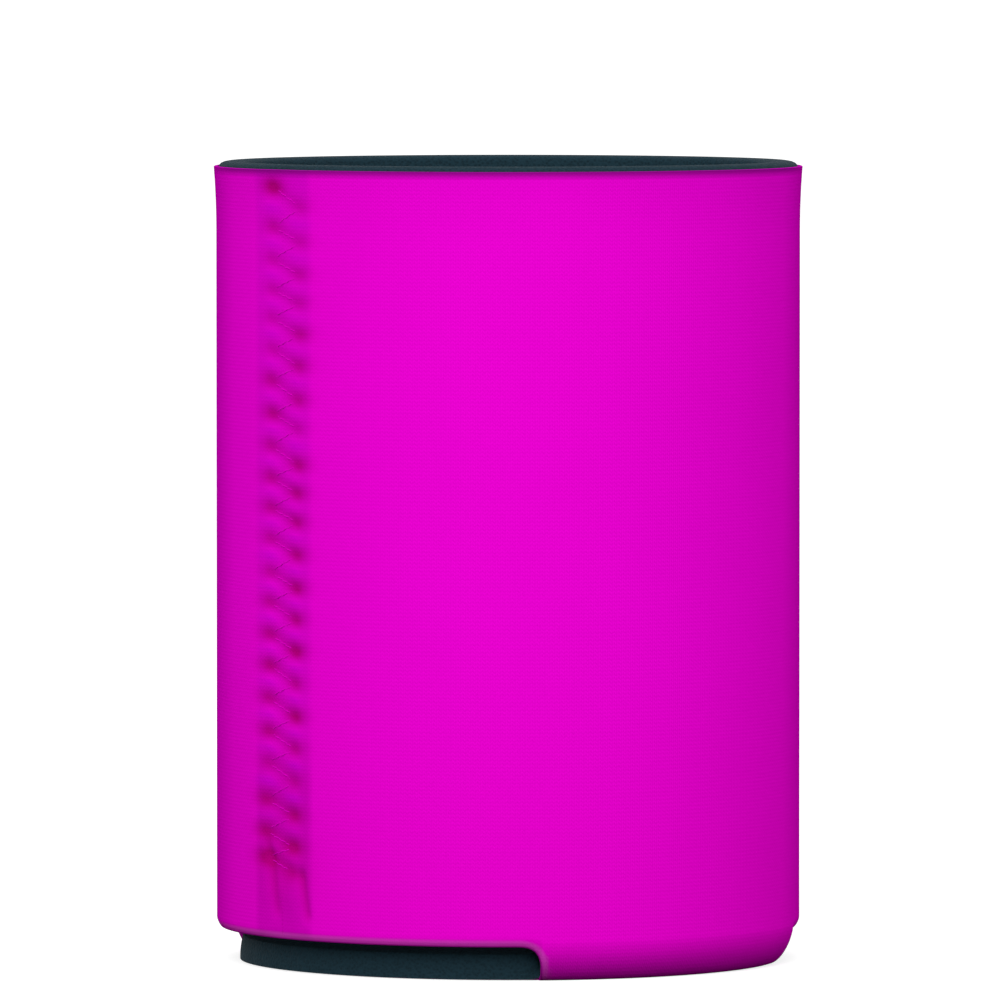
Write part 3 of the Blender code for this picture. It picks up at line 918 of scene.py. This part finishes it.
def knit_material():
    """Fine magenta knit: rows of small V loops, with painted shade in hollows, painted shade and highlight at
    cut edges, and violet puffs.
    """
    knit = Nodes(bpy.data.materials.new("magenta_knit_cloth"))
    place = knit.place()
    x, y, z = knit.add("ShaderNodeSeparateXYZ", place).outputs
    angle = knit.maths("ARCTAN2", y, x)
    loop_height, height = knit_loops(knit, place, angle, z)
    colour = yarn_colour(knit, place, loop_height)
    colour = band_colour(knit, colour, angle, z)
    colour = relief_colour(knit, colour)
    colour = edge_colour(knit, colour, x, y, z)
    # painted shade where the face is seen at a slant
    facing = knit.add("ShaderNodeLayerWeight").outputs["Facing"]
    grazing = knit.times(knit.less(facing, GRAZING_START), GRAZING_RATE)
    knit.set("Base Color", knit.blend(grazing, colour, MAGENTA_SHADE))
    knit.set("Roughness", 0.8)
    knit.set("Specular IOR Level", 0.0)
    knit.set("Sheen Weight", 0.05)
    knit.set("Sheen Roughness", 0.5)
    knit.set("Sheen Tint", GLOSS_MAGENTA)
    knit.bumpy(height, strength=0.20, distance=0.00008)
    return knit.owner


def thread_material():
    """Polyester sewing thread, a little glossier than the knit."""
    thread = Nodes(bpy.data.materials.new("magenta_sewing_thread"))
    fibre = thread.noise(thread.place(), scale=5200, detail=2)
    thread.set("Base Color", thread.blend(fibre, THREAD_MAGENTA, THREAD_SHADE))
    thread.set("Roughness", 0.6)
    thread.set("Specular IOR Level", 0.05)
    thread.set("Specular Tint", GLOSS_MAGENTA)
    thread.bumpy(fibre, strength=0.3, distance=0.00004)
    return thread.owner


def foam_material():
    """Matt black closed-cell foam: small round cells cut open, with painted shade in them, and a slow
    unevenness.
    """
    foam = Nodes(bpy.data.materials.new("black_cut_foam"))
    place = foam.place()
    cells = foam.add("ShaderNodeTexVoronoi", place, voronoi_dimensions="3D")
    foam.feed(cells.inputs["Scale"], CELL_SCALE)
    cell = cells.outputs["Distance"]
    uneven = foam.noise(place, scale=700, detail=5)
    # painted shade in the cut cells
    pore = foam.times(foam.less(1.0, foam.times(cell, PORE_SLOPE)), PORE_SHARE)
    foam.set("Base Color", foam.blend(pore, FOAM_BLACK, FOAM_PORE))
    foam.set("Roughness", 0.85)
    foam.set("Specular IOR Level", 0.12)
    foam.bumpy(foam.plus(cell, foam.times(uneven, UNEVENNESS)), strength=0.6, distance=0.00015)
    return foam.owner


def studio_floor():
    """A white floor that keeps a soft shadow: it glows, but only to the camera, reflections and glass."""
    floor = Nodes(bpy.data.materials.new("white_floor"))
    camera, seen = floor.rays()
    floor.set("Base Color", floor.blend(camera, (FLOOR_BOUNCE,) * 3, (FLOOR_GREY,) * 3))
    floor.set("Roughness", 0.9)
    floor.set("Specular IOR Level", 0.0)
    floor.set("Emission Color", WHITE)
    floor.set("Emission Strength", floor.times(seen, FLOOR_GLOW))
    corners = np.array([[-1, -1, 0], [1, -1, 0], [1, 1, 0], [-1, 1, 0]])
    points = corners * FLOOR_HALF_WIDTH - (0, 0, FLOOR_DROP)
    made = make_mesh("floor", points, np.array([[0, 1, 2, 3]]), (), {}, floor.owner)


def studio_world():
    """A plain pale room: white to the camera, reflections and glass, and a soft fill for the rest."""
    room = Nodes(bpy.data.worlds.new("white_room"))
    room.tree.nodes.clear()
    _, seen = room.rays()
    fill = room.add("ShaderNodeBackground", WHITE, ROOM_FILL).outputs[0]
    white = room.add("ShaderNodeBackground", WHITE, 1.0).outputs[0]
    mix = room.add("ShaderNodeMixShader", seen, fill, white).outputs[0]
    room.add("ShaderNodeOutputWorld", mix)
    bpy.context.scene.world = room.owner


def stand_facing(made, place, target):
    """Links a lamp or a camera into the scene, at a place and turned to face a target."""
    made.location = place
    aim = Vector(target) - Vector(place)
    made.rotation_euler = aim.to_track_quat("-Z", "Y").to_euler()
    bpy.context.scene.collection.objects.link(made)


def softbox(name, azimuth, distance, height, size, power):
    """A square soft lamp aimed at the sleeve's middle.

    Its azimuth is in degrees, 0 on the camera's side, and positive to the camera's right.
    """
    lamp = bpy.data.lights.new(name, "AREA")
    lamp.shape = "SQUARE"
    lamp.size = size
    lamp.energy = power
    turn = VIEW_AZIMUTH + math.radians(azimuth)
    place = (distance * math.sin(turn), -distance * math.cos(turn), height)
    stand_facing(bpy.data.objects.new(name, lamp), place, (0, 0, CROWN_TOP / 2))


def studio_camera():
    """The photograph's view: a long lens a little above the mouth, aimed just beside the sleeve's axis."""
    lens = bpy.data.cameras.new("photo_view")
    lens.lens = VIEW_LENS
    lens.sensor_width = 36.0
    lens.clip_end = 100.0
    made = bpy.data.objects.new("photo_view", lens)
    side_x = -VIEW_SIDE_STEP * math.cos(VIEW_AZIMUTH)
    side_y = -VIEW_SIDE_STEP * math.sin(VIEW_AZIMUTH)
    back_x = VIEW_DISTANCE * math.sin(VIEW_AZIMUTH)
    back_y = -VIEW_DISTANCE * math.cos(VIEW_AZIMUTH)
    place = (side_x + back_x, side_y + back_y, VIEW_HEIGHT)
    stand_facing(made, place, (side_x, side_y, VIEW_TARGET_HEIGHT))
    bpy.context.scene.camera = made


studio_camera()
studio_world()
studio_floor()
softbox("front_softbox", azimuth=-16, distance=1.4, height=1.0, size=1.3, power=20.5)
softbox("side_softbox", azimuth=58, distance=1.5, height=0.8, size=1.0, power=4.5)

cloth_face(knit_material())
foam_core(foam_material())
yarn = thread_material()
seam_thread("right_needle_thread", "right_seam_thread", RIGHT, outside=True, material=yarn)
seam_thread("left_needle_thread", "left_seam_thread", LEFT, outside=True, material=yarn)
seam_thread("right_bobbin_thread", "right_seam_bobbin_thread", RIGHT, outside=False, material=yarn)
seam_thread("left_bobbin_thread", "left_seam_bobbin_thread", LEFT, outside=False, material=yarn)

bpy.context.scene.view_settings.view_transform = "Standard"
